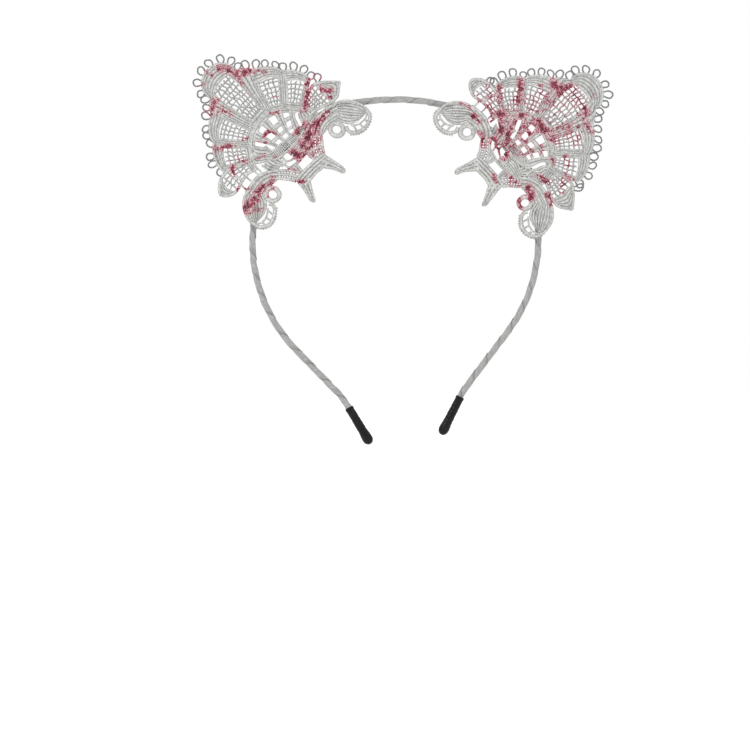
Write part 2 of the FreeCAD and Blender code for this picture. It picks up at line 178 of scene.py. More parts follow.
class Work:
    """The threads and satin of one piece, gathered as one mesh, each point with its place on its fibre."""

    def __init__(self, seed):
        self.draw = np.random.default_rng(seed)
        self.points, self.fibres, self.crests, self.quads, self.ends = [], [], [], [], []
        self.count = 0

    def rings(self, points, fibres, crests):
        """A tube with capped ends, given as rings of points."""
        many, around = points.shape[:2]
        index = self.count + np.arange(many * around).reshape(many, around)
        beside = np.roll(index, -1, axis=1)
        quads = np.stack([index[:-1], index[1:], beside[1:], beside[:-1]], axis=-1)
        self.quads.append(quads.reshape(-1, 4))
        self.ends += [tuple(index[0].tolist()), tuple(index[-1][::-1].tolist())]
        self.points.append(points.reshape(-1, 3))
        self.fibres.append(fibres.reshape(-1, 2))
        self.crests.append(np.broadcast_to(crests, points.shape[:2]).reshape(-1))
        self.count += many * around

    def satin(self, near, far, thick, lift, around=10, ragged=1):
        """Satin stitches laid side by side from the near edge to the far one, two lines of (u, v)."""
        run = lengths((near + far) / 2)
        many = len(run)
        stitch = (run / STITCH).astype(int)
        ridge = np.abs(np.sin(pi * run / STITCH))
        loose = self.draw.normal(0, 1, (3, stitch[-1] + 1))[:, stitch]
        across = far - near
        width = np.linalg.norm(across, axis=1)
        across = across / np.maximum(width, 1e-6)[:, None]
        over = ragged * (0.09 * (ridge - 0.6) + 0.05 * loose[:2] * ridge)
        near, far = near - across * over[0][:, None], far + across * over[1][:, None]
        turn = ROUND * np.arange(around) / around
        share = (1 - np.cos(turn)) / 2
        flat = near[:, None] * (1 - share)[None, :, None] + far[:, None] * share[None, :, None]
        height = spread(thick, many) / 2 + 0.07 * (ridge - 0.5) + 0.02 * loose[2]
        up = spread(lift, many)[:, None] + height[:, None] * np.sin(turn)[None, :]
        points = np.concatenate([flat, up[..., None]], axis=-1)
        fibres = np.stack(np.broadcast_arrays(run[:, None], share[None, :] * width[:, None]), axis=-1)
        # Painted shade: the tube's sides and the valleys between satin stitches get low values, which the
        # lace colour turns darker.
        crests = np.abs(np.sin(turn))[None, :] * (0.6 + 0.4 * ridge[:, None]) + 0.1 * loose[0][:, None]
        self.rings(points, fibres, crests)

    def cord(self, path, width, thick, lift=0, **how):
        """A satin-stitched cord along a path of (u, v) points."""
        line = curve(path)
        half = spread(width, len(line))[:, None] / 2
        _, left = along(line)
        self.satin(line + left * half, line - left * half, thick, lift, **how)

    def thread(self, path, radius, lift=0, around=6, wander=0.08):
        """A two-ply thread along (u, v) or (u, v, w) points, a little wavy."""
        line = curve(path, max(5, int(lengths(np.asarray(path, float))[-1] / (PLY_LAY / 6))))
        if line.shape[1] == 2:
            line = np.column_stack([line, spread(lift, len(line))])
        run = lengths(line)
        phase = self.draw.uniform(0, 6.28, 4)
        for k, wave in enumerate((1.9, 1.6, 2.3)):
            line[:, k] += wander * np.sin(run * wave + phase[k])
        ahead, _ = along(line)
        side = np.cross(ahead, (0, 0, 1))
        side /= np.maximum(np.linalg.norm(side, axis=1, keepdims=True), 1e-6)
        up = np.cross(side, ahead)
        turn = ROUND * np.arange(around) / around
        twist = turn[None, :] - (ROUND * run / PLY_LAY)[:, None] + phase[3]
        size = radius * (1 + 0.24 * np.cos(2 * twist))[..., None]
        points = line[:, None] + size * (
            side[:, None] * np.cos(turn)[None, :, None] + up[:, None] * np.sin(turn)[None, :, None]
        )
        fibres = np.stack([run[:, None] * np.ones(around), twist * radius], axis=-1)
        # Painted shade: the thread's sides and the grooves between its plies get low values, which the lace
        # colour turns darker.
        self.rings(points, fibres, np.abs(np.sin(turn))[None, :] * (0.6 + 0.4 * np.cos(2 * twist)))

    def net(self, near, far, crossings, lines, bow=0, radius=NET_RADIUS):
        """Net threads between two edges: crossings from edge to edge, and lines run along."""
        many = 60
        low, high = curve(near, many), curve(far, many)
        middle = (low + high) / 2
        ahead, _ = along(middle)
        for share in crossings:
            first, last = np.clip(share + self.draw.uniform(-0.025, 0.025, 2), 0, 1) * (many - 1)
            start, end = low[int(first)], high[int(last)]
            crest = (start + end) / 2 + ahead[int(first)] * bow
            self.thread([start, crest, end], radius * self.draw.uniform(*NET_SIZES), NET_LIFT + 0.16)
        for share in lines:
            start, end = np.vstack([low[:-1:5], low[-1:]]), np.vstack([high[:-1:5], high[-1:]])
            shares = share + self.draw.uniform(-0.05, 0.05, (len(start), 1))
            path = start * (1 - shares) + end * shares
            self.thread(path, radius * self.draw.uniform(*NET_SIZES), NET_LIFT - 0.1)

    def rows(self, near, far, count, thick=0.72, lift=0, groove=0.01, **how):
        """Satin cords laid side by side, from the near edge to the far one."""
        many = int(max(lengths(curve(near, 40))[-1], lengths(curve(far, 40))[-1]) / STEP)
        low, high = curve(near, many), curve(far, many)
        for k in range(count):
            edges = [low + (high - low) * (k + share) / count for share in (groove, 1 - groove)]
            self.satin(*edges, thick, lift + self.draw.uniform(-0.1, 0.1), around=8, **how)


# ---- from work to object


def made(name, points, faces, values, material):
    """A smooth mesh object from points in metres, with named values kept on its points."""
    mesh = bpy.data.meshes.new(name)
    mesh.from_pydata(points.tolist(), [], faces)
    mesh.update()
    mesh.shade_smooth()
    for key, value in values.items():
        kind, part = ("FLOAT_VECTOR", "vector") if value.ndim == 2 else ("FLOAT", "value")
        kept = mesh.attributes.new(key, kind, "POINT")
        kept.data.foreach_set(part, value.astype(np.float32).ravel())
    piece = bpy.data.objects.new(name, mesh)
    bpy.context.scene.collection.objects.link(piece)
    mesh.materials.append(material)
    return piece


def finished(name, work, place, material, nodes, stain=None):
    """Makes the mesh object of a piece. place turns its working points into metres."""
    flat = np.vstack(work.points)
    values = {
        "fibre": np.column_stack([np.vstack(work.fibres), np.zeros(len(flat))]),
        # crest carries painted shade: low on the threads' sides and in the grooves between stitches and
        # plies.
        "crest": np.concatenate(work.crests),
    }
    if stain:
        values["stain"], values["halo"] = stained(stain, flat)
    piece = made(name, place(flat), np.vstack(work.quads).tolist() + work.ends, values, material)
    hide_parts(*nodes)
    return piece


def on_ear(side):
    """The map from an ear's (u, v, w) to the row frame, with the unevenness of worn lace."""
    seed = EAR_SEED[side]
    lean = radians(EAR_LEAN[side])
    foot = EAR_FOOT[side]

    def place(points):
        u, v, w = points.T
        across = u + SHIFT * ripple(u, v, SHIFT_REACH, seed)
        up = v + SHIFT * ripple(u, v, SHIFT_REACH, seed + 1)
        out = w + BILLOW * (1 + ripple(u, v, BILLOW_REACH, seed + 2))
        out = out - TIP_LEAN * smoothstep(*TIP_LEAN_SPAN, v)
        x = foot[0] + across * cos(lean) + up * sin(lean)
        z = foot[1] - across * sin(lean) + up * cos(lean)
        return np.column_stack([x, -(LACE_MIDDLE + out), z]) * MM

    return place


def fan(reach, angle, turn):
    """A point of the fan by its reach from the hub and its angle from the ear's axis."""
    a = radians(angle + turn)
    return (reach * sin(a), reach * cos(a))


def arc(turn, *points, hand=1):
    """Points of the fan, each by its reach and angle, on either hand of the ear's axis."""
    return [fan(reach, hand * angle, turn) for reach, angle in points]


def flip(hand, points):
    """The same points on either hand of the ear's axis."""
    return [(hand * p[0], p[1]) for p in points]


def handed(hand):
    """A short way to write points on one hand of the ear's axis."""
    return lambda *points: flip(hand, points)


# ---- the ears' embroidery


def tip_line(turn):
    """The tip's outline from one neck over the top to the other."""
    half = [(8.3, 40.9), (8.5, 43.2), (7.4, 46.2), (4.6, 48.8)]
    whole = flip(-1, half) + [(0, 49.9)] + half[::-1]
    return [fan(hypot(u, v), degrees(atan2(u, v)), turn) for u, v in whole]


def rim_line(hand, turn):
    """The petals' outer edge from the tip's crest down to the corner petal."""
    half = tip_line(turn)
    half = half[4:] if hand > 0 else half[4::-1]
    upper = arc(turn, (39.4, 17), (38.2, 20.5), (36.8, 28), (35.4, 35), (33.6, 41), hand=hand)
    lower = arc(turn, (33.8, 46), (33.4, 53), (32.2, 60), (30.8, 66), hand=hand)
    return half + upper + lower + [(hand * 31.6, 9.4)]


def petal(work, hand, turn, seams, valleys, net, rim, crossings):
    """One petal of the fan: rails beside its net, arcs of cord round its end and a raised rim."""
    start, inner, end, outer = net
    middle = radians(hand * sum(seams) / 2 + turn)

    def at(across, up):
        return (
            up * sin(middle) + hand * across * cos(middle),
            up * cos(middle) - hand * across * sin(middle),
        )

    low, high = (
        [fan(r, hand * seam, turn) for r in (HUB_RADIUS, (HUB_RADIUS + valley) / 2, valley)]
        for seam, valley in zip(seams, valleys)
    )
    net_low, net_high = (
        [at(s * inner, start), at(s * (inner + outer) / 2, (start + end) / 2), at(s * outer, end)]
        for s in (-1, 1)
    )
    work.net(net_low, net_high, crossings, (0.24, 0.5, 0.76), bow=0.35)
    work.rows(net_low + [at(-outer - 0.4, end + 1.8)], low, 2)
    work.rows(net_high + [at(outer + 0.4, end + 1.8)], high, 2)
    work.rows([at(-inner - 0.6, start + 0.3), at(inner + 0.6, start + 0.3)], [low[0], high[0]], 2)
    crest = arc(turn, *rim, hand=hand)
    foot = [at(-outer - 0.8, end - 0.4), at(-outer / 2, end + 0.3), at(0, end + 0.5),
            at(outer / 2, end + 0.3), at(outer + 0.8, end - 0.4)]
    work.rows(foot, [low[-1]] + crest + [high[-1]], 4, lift=0.05)
    work.cord([low[-1]] + crest + [high[-1]], 1, 0.9, 0.3)
    for line in (net_low, net_high):
        work.cord(line, 0.65, 0.65, 0.3, around=8)


def tip_petal(work, turn):
    """The tall petal at the ear's tip."""
    foot, waist, crown = 20.6, 33, 41.6
    net_low = arc(turn, (foot, -9.6), (waist, -10.2), (crown, -8))
    net_high = arc(turn, (foot, 9.2), (waist, 8.8), (crown, 6))
    work.net(net_low, net_high, (0, 0.12, 0.24, 0.36, 0.49, 0.61, 0.72, 0.83, 0.94),
        (0.18, 0.36, 0.52, 0.68, 0.84), bow=0.3)
    neck = tip_line(turn)
    for hand, edge, shoulder in ((-1, net_low, neck[0]), (1, net_high, neck[-1])):
        seam = [fan(r, hand * SEAMS[0], turn) for r in (HUB_RADIUS, 26, 33, VALLEYS[0])] + [shoulder]
        work.rows(edge + [fan(42.4, hand * 8, turn)], seam, 3)
        work.cord(edge, 0.7, 0.65, 0.3, around=8)
    work.rows([net_low[0], net_high[0]], arc(turn, (HUB_RADIUS, -17), (HUB_RADIUS, 17)), 2)
    floor = arc(turn, (40.4, -9.6), (41.4, -5), (41.8, 0), (41.4, 5), (40.4, 9.6))
    work.rows(floor, neck, 5, lift=0.05)
    work.cord(neck, 1, 0.9, 0.3)


def rounded_corner(work, hand):
    """The corner petal that ends in a round leaf."""
    at = handed(hand)
    upper = at((16.4, 6.9), (22, 9.6), (28, 11), (32.6, 10.4), (35.6, 8.4))
    lower = at((17.4, 2.6), (22, 3.8), (26.5, 3.4), (31.4, 2.2), (35.4, 3.6))
    work.cord(upper + at((36.9, 6)) + lower[::-1], 1.4, 1.2, 0.2)
    work.rows(at((31.6, 10.2), (32.9, 6.2), (31.4, 2.6)), at((34.8, 8.8), (36.5, 6), (34.9, 3.3)), 3)
    work.rows(at((20, 8.8), (19.8, 6.4), (20, 3.6)), at((16.2, 6.9), (16.9, 4.8), (17.4, 2.6)), 3)
    work.net(at((20, 3.8), (26.5, 3.8), (32.2, 3)), at((20, 8.8), (26.5, 10.4), (32.4, 9.8)),
             (0.12, 0.3, 0.48, 0.65, 0.83), (0.28, 0.56, 0.8))
    work.cord(at((25.6, 10.2), (26.4, 7), (26, 4)), 1.3, 0.9, 0.1)


def pointed_corner(work, hand):
    """The corner petal whose outer edge runs straight to a point."""
    at = handed(hand)
    upper = at((16.4, 6.9), (22, 10), (27, 11.2), (31.4, 8.9))
    lower = at((17.4, 2.9), (21, 2.2), (26.2, 0.5), (31.4, 0.2))
    point = at((36.8, 3.5))
    work.cord(upper + point, (1.4, 1.4, 1.4, 0.8), 1.2, 0.2)
    work.cord(lower + point, (1.4, 1.4, 1.4, 0.8), 1.2, 0.2)
    work.rows(at((27.6, 10.6), (27.2, 5.4), (27, 0.8)), at((33, 7.2), (36.4, 3.6), (32.8, 0.8)), 5)
    work.rows(at((20, 8.9), (19.8, 5.6), (19.8, 2.8)), at((16.2, 6.9), (16.9, 5), (17.4, 2.9)), 3)
    work.net(at((19.8, 2.6), (23.4, 1.8), (27.2, 0.9)), at((20, 9), (24, 10.3), (27.6, 10.4)),
             (0.16, 0.36, 0.55, 0.75), (0.2, 0.4, 0.6, 0.8), radius=0.34)


def fan_hub(work, turn):
    """The hub: spokes of satin with square windows between them, on a ribbed base."""
    ring = [fan(HUB_RADIUS - 0.3, a, turn) for a in range(-88, 89, 11)]
    inner_ring = [fan(14.9, a, turn) for a in range(-60, 61, 10)]
    work.rows(inner_ring, ring[2:-2], 2)
    work.cord(ring, 0.9, 1, 0.12)
    spokes = (
        ([(-4.8, 2.2), (-5.2, 4.6), (-6.9, 8), (-8.8, 11.4), (-10.2, 13.4)],
         [(-3.1, 2.2), (-3.4, 4.9), (-3.9, 8.1), (-4.6, 12.2), (-5, 15.2)], 3),
        ([(-1, 2.2), (-1, 4.9), (-1.1, 8.1), (-1.9, 12.6), (-2.2, 15.4)],
         [(0.8, 2.2), (0.9, 4.9), (1.2, 7.7), (1.6, 12), (2, 15.4)], 2),
        ([(3.2, 2.2), (3.3, 4.9), (3.7, 7.7), (4.8, 12.3), (5.4, 15.2)],
         [(4.6, 2.2), (4.7, 4.2), (5.9, 7), (7.9, 11), (9.6, 13.2)], 2),
        ([(6.8, 1.8), (6.9, 4), (8.4, 6.6), (10.4, 9.8), (12.2, 11.8)],
         [(9.2, 0.6), (10.2, 3.4), (11.2, 6.6), (13.4, 9), (14.4, 9.8)], 2),
        ([(10.2, 0.8), (11.6, 3.2), (12.5, 5.8), (14.3, 8)],
         [(13, 1.2), (17, 2.4), (17.2, 4.4), (16.8, 6.6)], 4),
        ([(-6.9, 1.8), (-6.9, 4.6), (-9.2, 8.6), (-11.2, 11.6)],
         [(-9.4, 0.6), (-13.4, 2.4), (-16.2, 4.4), (-16.4, 7.6)], 5),
    )
    for near, far, count in spokes:
        work.rows(near, far, count)
    bars = (
        ([(-8.6, 6.4), (-7, 6.2)], 1.8),
        ([(-4.4, 6.4), (-2.6, 6.2), (-0.6, 6.3)], 1.9),
        ([(0.8, 6.2), (2.4, 6), (4, 6.1)], 1.6),
        ([(-4.8, 10.9), (-2.8, 11.2), (-1.2, 10.6)], 1.9),
        ([(1.2, 10), (3, 10.1), (4.8, 9.7)], 2.1),
        ([(5.4, 5.3), (7.2, 5)], 1.3),
        ([(6.6, 9.2), (8.4, 8.7), (9.8, 8)], 1.8),
        ([(-7.2, 3), (-4, 2.9), (0, 2.7), (4, 2.8), (7.4, 2.6)], 0.9),
        ([(-11.4, 5.4), (-9.6, 4), (-7.4, 3)], 0.9),
    )
    for path, width in bars:
        work.cord(path, width, 1, 0.14)
    work.rows([(-3.1, -0.7), (0.6, -0.8)], [(-2.9, 2.6), (0.5, 2.6)], 3, thick=0.6, lift=-0.2)
    work.rows([(-7, 1.9), (-6.6, -0.6), (-6.2, -3.4)], [(-14.6, 1.8), (-13.4, -1.8), (-10.4, -4.2)], 5)
    work.rows([(7, 1.9), (7.2, -0.8), (7, -3.2)], [(14.2, 2.2), (13, -1.4), (10.4, -4.2)], 4)
    work.rows([(13.8, 3), (16.6, 3.4), (19.8, 3)], [(13, -1.8), (16.4, -0.6), (19.6, 0.2)], 4, lift=-0.1)
    for u in np.arange(-6.6, 6.9, 0.82):
        if abs(u + 1.26) > 1.3:
            work.cord([(u * 1.04, -0.9), (u * 0.97, 2.6)], 0.8, 0.7, 0.1, around=8)
    square = ((-1, -1), (1, -1), (1, 1), (-1, 1), (-1, -1))
    for reach in (1.15, 0.45):
        corners = [(-1.26 + reach * x, 0.85 + reach * y) for x, y in square]
        for first, second in zip(corners, corners[1:]):
            work.cord([first, second], 0.45, 0.8, 0.15, around=8)
    work.cord([(-9.4, 0.4), (-6, -0.9), (0, -1.5), (6, -0.9), (9.6, 0.3)], 1.1, 1.1, 0.2)


def scroll(work, hand):
    """Three cords that sweep from the tail to the ear's end, with a lobe, a leaf and an end curl."""
    at = handed(hand)
    lines = (
        [(28.4, -1.4), (24.4, -0.6), (19.4, -0.4), (13.6, -2.6), (9.5, -6.2), (6.6, -9.4), (5, -12.2)],
        [(27.2, -3.4), (24, -2.6), (19.2, -2.2), (14.5, -3.9), (10.8, -7.6), (8.4, -10.4), (7, -12.8)],
        [(26, -5.6), (23.4, -4.8), (19.4, -4), (15.2, -5.6), (12.3, -9), (10.2, -11.4), (8.7, -13.8)],
    )
    for k, line in enumerate(lines):
        work.cord(flip(hand, line), 1.45, 1, 0.12 + 0.12 * (k == 1))
    for first, second in zip(lines, lines[1:]):
        upper, lower = curve(flip(hand, first), 40), curve(flip(hand, second), 40)
        work.rows(upper[2:26], lower[2:26], 1, thick=0.55, lift=-0.15, groove=0.2)
        for k in range(27, 39, 2):
            work.thread([upper[k], lower[k]], 0.28, 0, wander=0.02)
    tops = (0.6, 1.5, 2.8) if hand > 0 else (3.3, 3.8, 3.4)
    for u, top, low in zip((27.6, 23.6, 19.2, 14.6, 11.6), (*tops, 2.2, 1.2), (-1.2, -0.6, -0.2, -2, -4)):
        work.cord(at((u, top), (u - 0.3, low)), 0.8, 0.9, around=8)
    work.rows(at((13.6, -7.2), (19.2, -4.8), (24.4, -6)), at((13.9, -7.7), (20.2, -7.4), (24, -8.6)), 2)
    lobe = [(20.6 + 2.8 * cos(a), -10.4 + 2.9 * sin(a)) for a in np.linspace(0.5, 0.5 + ROUND, 11)]
    work.cord(flip(hand, lobe), 2.1, 1.1, 0.1, around=12)
    inner = [(23, -5.2), (23.9, -8), (24.8, -10.8), (26.6, -13), (29.6, -14.3), (32.8, -14.4)]
    outer = [(25.6, -1.8), (29.4, -2), (33, -4.4), (35.4, -8), (36.3, -11.6), (35.6, -14.2)]
    work.rows(flip(hand, inner), flip(hand, outer), 8)
    work.cord(flip(hand, outer), 1.1, 0.95, 0.25)
    curl = [(35.9, -13.2), (35.4, -16), (33.4, -18), (30.2, -18.8), (27, -18), (24.6, -16.2), (23.8, -14),
            (24.6, -12.2)]
    work.cord(flip(hand, curl), 1.6, 1, 0.15)
    work.cord(at((26.2, -13.4), (29.2, -15.6), (32.8, -15.9), (35.2, -14.6)), 0.8, 1, 0.1, around=8)
    for top, bottom in (((27, -14), (26.4, -17.6)), ((29.6, -15.4), (29.4, -18.4)),
            ((32.4, -15.6), (32.8, -18))):
        work.cord(at(top, bottom), 0.9, 0.9, 0.05, around=8)
    scallops = curve(at((36.6, -13.2), (36.1, -16.4), (33.8, -18.7), (30.2, -19.6), (26.6, -18.8),
        (23.8, -16.6)), 15)
    _, left = along(scallops)
    for here, normal in zip(scallops, left * -hand):
        beside = np.array([-normal[1], normal[0]]) * 0.65
        first, last = (here + step - normal * 0.4 for step in (-beside, beside))
        work.thread([first, here + normal * 0.7, last], 0.3, 0.1, wander=0)


def forked_tail(work):
    """The cross band under the hub, the neck with its window, and two serrated prongs."""
    work.rows([(-7.6, -6.6), (-3, -7.4), (0, -7.2), (8, -6)],
        [(-6.6, -8.6), (-3, -9), (0, -8.9), (7.6, -8.4)], 2)
    work.rows([(1.6, -1.6), (5.6, -1.4), (10.2, -3.4)], [(1.8, -6.6), (5, -6.6), (8.8, -6.8)], 5)
    for turn in range(0, 360, 40):
        a = radians(turn)
        tip = (0.1 + 2.5 * cos(a), -6.2 + 2.3 * sin(a))
        work.cord([(0.1, -6.2), tip], (0.7, 1.5), (1.2, 0.9), 0.15, around=8)
    for path in ([(-5.4, -1.2), (-5.2, -4.4), (-2.2, -6)], [(-8.6, -4.2), (-5.4, -4.6)],
                 [(-2.4, -1.4), (-1.8, -4.2)], [(-7.4, -3.4), (-6.6, -7.2)]):
        work.cord(path, 0.9, 0.8, around=8)
    work.rows([(-2.6, -1.4), (0, -1.6), (1.8, -1.4)], [(-2.2, -4.2), (0, -4), (1.8, -4.2)], 2, thick=0.8)
    for hand in (-1, 1):
        at = handed(hand)
        work.rows(at((2.9, -8.6), (2.8, -10.4), (3.2, -12.4)), at((6, -8.6), (5.4, -10.6), (5.4, -12.6)), 2)
        outer = at((8.7, -13.6), (9.3, -17.4), (10.1, -21), (10.8, -24), (10.6, -25.4), (9.8, -26.3))
        inner = at((3, -17), (5, -19.8), (6.8, -22.4), (7.9, -24.6), (8.3, -25.7), (9.2, -26.3))
        work.rows(outer, inner, 3, thick=(1.05, 1.1, 1.05, 0.9), groove=0.02, ragged=1.8)
    work.rows([(-8.4, -12.8), (-4, -12.3), (0, -12.2), (4, -12.3), (8.4, -12.8)],
              [(-7.2, -18.6), (-3.4, -18.3), (0, -17.9), (3.4, -18.3), (7.2, -18.6)], 4, thick=1, lift=0.06)


def picot(work, base, normal, long, lean, tip):
    """One loop of thread that stands on the edge, tipped out of the lace by a little."""
    half = [(-0.45, -0.7), (-1, 0.5), (-1.55, 1.8), (-1.3, 3.1)]
    beside = np.array([-normal[1], normal[0]])
    path = []
    for x, y in half + [(0, 3.8)] + flip(-1, half[::-1]):
        x, y = x * (0.75 + 0.25 * long) + lean * y, y * long
        here = base + beside * x + normal * y
        path.append((here[0], here[1], tip * y))
    work.thread(path, PICOT_RADIUS, around=8, wander=0.06)


def picot_edging(work, turn):
    """Loops along the petals' outer edge, from corner to corner."""
    for hand in (-1, 1):
        edge = curve(rim_line(hand, turn), 240)
        _, left = along(edge)
        run = lengths(edge)
        for place in np.arange(PICOT_START, run[-1] - 1, PICOT_PITCH):
            k = int(np.searchsorted(run, place + work.draw.uniform(-0.35, 0.35)))
            long = work.draw.uniform(0.82, 1.16)
            picot(work, edge[k], left[k] * hand, long, work.draw.uniform(-0.22, 0.22),
                work.draw.uniform(-0.25, 0.25))


# ---- stains


# Dried red splashes on each ear, as streaks from one (u, v) to another: (u, v, u, v, width, strength).
STREAKS = {
    "left": (
        (3, 46.6, 5.2, 42.6, 1.7, 0.9), (5.2, 42.6, 6, 37.6, 1.6, 0.9), (8.8, 37.4, 12, 36.4, 2, 0.9),
        (12, 36, 15, 31, 1.7, 0.6), (5.4, 37, 5, 33.4, 1.2, 0.5), (-14.6, 35.6, -9, 37.6, 1.9, 0.8),
        (-10, 34.2, -8.4, 28.2, 1.4, 0.7), (-12.6, 33, -9.6, 32, 1.2, 0.6),
        (-3.4, 50.4, -1.4, 46.8, 1.9, 0.5), (-9.6, 48.4, -7.4, 46.6, 1.2, 0.6),
        (-12.6, 16.8, -10.6, 15.6, 0.9, 0.7), (-9.2, 10.8, -6.4, 8, 0.9, 0.8), (-5, 10.6, -2, 11.2, 0.8, 1),
        (-2, 11.2, -0.4, 8, 0.9, 1), (5.2, 15.8, 7.6, 13.4, 1.1, 0.7), (10.4, 20.6, 11.8, 19.2, 0.8, 0.7),
        (-24.6, 22.4, -19, 18.4, 1.6, 0.8), (-26.2, 9, -24.4, 11, 1.3, 1),
        (-20.6, 12.6, -18.4, 7.6, 1.4, 0.7), (-17.6, 16, -16, 17.6, 0.8, 0.5),
        (-30, 2.4, -26.8, 0, 1.5, 0.7), (-35, -5.8, -29, -6.6, 2.3, 1), (-29, -6.2, -22, -4.6, 1.7, 0.9),
        (-22, -6, -15.4, -5.4, 1.5, 0.7), (-22, -9.4, -17, -8.4, 1.5, 0.6),
        (-33, -9.4, -28, -11.6, 1.3, 0.7), (-10.6, -13.2, -6.2, -16, 1, 0.8),
        (-8.6, -5.6, -5.6, -9.8, 1.2, 0.6), (-1.2, -4.4, 1.2, -8.4, 2, 1), (4.6, -4.4, 13.6, -3.4, 2.3, 1),
        (5.8, -7.4, 12, -7.6, 2, 0.8), (6.2, 1.8, 12.8, 1.4, 1.4, 0.9), (13.4, -1.6, 22.4, -1.8, 1.6, 0.8),
        (3, -9.6, 9.4, -11.8, 1.8, 0.6), (17, 6.2, 22, 9.6, 1.6, 0.8), (21.6, 9.4, 27.6, 13.8, 1.7, 0.9),
        (28.4, 8, 30.6, 4.2, 1.4, 0.9), (26, 4, 28.6, 2, 1.2, 0.7), (29.6, 15, 33, 10.4, 1.5, 0.5),
        (10.6, 4.4, 15, 6.8, 1.8, 0.4), (-14.4, 5.6, -10.2, 4.6, 1.2, 0.5), (-8.2, 1.2, -7, 0.4, 0.9, 0.5),
        (3.6, 30, 4.6, 26, 0.9, 0.4), (-24, 15, -22.4, 13.4, 0.9, 0.5),
    ),
    "right": (
        (-12.6, 33.4, -7.4, 33.2, 1.9, 1), (-8.4, 35, -6, 38.6, 1.9, 1), (-5.4, 38.4, 6.4, 36.6, 2, 0.9),
        (7, 37.6, 9.4, 34, 1.4, 0.6), (11, 33.6, 14.8, 33, 1.5, 0.8), (6.6, 27, 9.6, 23.4, 1.8, 0.8),
        (12.8, 26.6, 14.4, 24, 1.5, 0.9), (9, 30, 12, 28.6, 1.3, 0.5), (-22.4, 22.4, -16.4, 15.4, 1.8, 0.9),
        (-15, 27.6, -9, 25, 2.2, 0.6), (-14, 23, -9, 20, 2.4, 0.6), (-2.6, 32, -0.8, 25.4, 1.6, 0.6),
        (1.6, 30, 6, 24.6, 2.2, 0.4), (-10.6, 15.6, -4, 17, 1.6, 0.6), (-3.6, 17, 5.6, 17.2, 1.9, 0.9),
        (6, 18.4, 9.2, 17.8, 1.6, 0.8), (-3.2, 13, -2.4, 7.2, 2.1, 1), (-10.8, 13, -9.8, 5.6, 1.6, 0.9),
        (2.4, 13.6, 7.6, 9.6, 1.6, 0.6), (-27, 13.6, -22, 9, 1.7, 0.8), (-31, 10, -25, 7.8, 1.5, 0.7),
        (-17.8, 6.4, -11, 1.6, 1.9, 0.9), (-20, 3, -17.2, 1, 1.8, 0.9), (-8, 3.6, -5.6, 0.4, 1.8, 0.9),
        (-10.4, -4.2, -1.6, -4, 1.8, 1), (-16, -6.6, -11.6, -8.2, 1.7, 0.9),
        (-38.6, -5.4, -28, -2.4, 1.6, 0.5), (-24.6, -3.4, -20.4, -3.4, 1.4, 0.8),
        (-31, 3.4, -22.6, 3.4, 1.3, 0.6), (16.8, 16.6, 20, 15.4, 1.2, 0.9),
        (13, 11.4, 15.4, 10.8, 1.2, 0.8), (22.8, 12.4, 24.8, 11.4, 1.2, 0.8),
        (23.6, 9.2, 26.8, 6, 1.5, 0.8), (24.4, 0, 28.2, -1.2, 1.5, 0.8), (15.4, 2, 20.2, 3.6, 1.5, 0.8),
        (16.8, -5.4, 20, -6.6, 1.8, 1), (17.4, -11.4, 21, -12.2, 1.6, 0.9),
        (5.6, -8.8, 12.4, -7.6, 1.5, 0.7), (2, -13.6, 4.4, -14.8, 1.4, 0.8), (-4, 0.6, 5.6, 3.6, 1.7, 0.6),
        (-1, 6, 5.6, 6.4, 1.4, 0.6), (9, -10.6, 11, -10.8, 1.1, 0.6), (-15, 11.6, -12, 9, 1.6, 0.5),
        (2.6, 46, 3.4, 41, 0.8, 0.6), (8.6, 22, 11.4, 24.6, 1.4, 0.5), (-20.4, 8.6, -17.2, 7.2, 1.6, 0.5),
        (26, 13, 27.6, 12, 0.9, 0.6), (-24, 5, -12, 9, 4.5, 0.56), (-14, 8, -2, 15, 6.5, 0.60),
        (-12, 20, -6, 31, 5.5, 0.56), (-1, 14, 8, 26, 5, 0.50), (-8, 0, 3, 5, 4.5, 0.58),
        (-6, 34, 8, 34, 3.5, 0.52),
    ),
}


# How steeply the wet red, and the pink halo round it, fall off away from a streak.
WET_FALL = 0.7
HALO_FALL = 0.28


def stained(side, points):
    """How wet each point was with red, and how far the pink halo round it reaches, from 0 to 1."""
    u, v = points[:, 0], points[:, 1]
    wet, halo = np.zeros(len(points)), np.zeros(len(points))
    for first_u, first_v, last_u, last_v, width, strength in STREAKS[side]:
        run_u, run_v = last_u - first_u, last_v - first_v
        share = np.clip(((u - first_u) * run_u + (v - first_v) * run_v) / (run_u**2 + run_v**2), 0, 1)
        far = np.hypot(u - first_u - share * run_u, v - first_v - share * run_v) / width
        wet = np.maximum(wet, strength * np.exp(-WET_FALL * far**2))
        halo = np.maximum(halo, strength * np.exp(-HALO_FALL * far**2))
    return wet, halo


# ---- the band


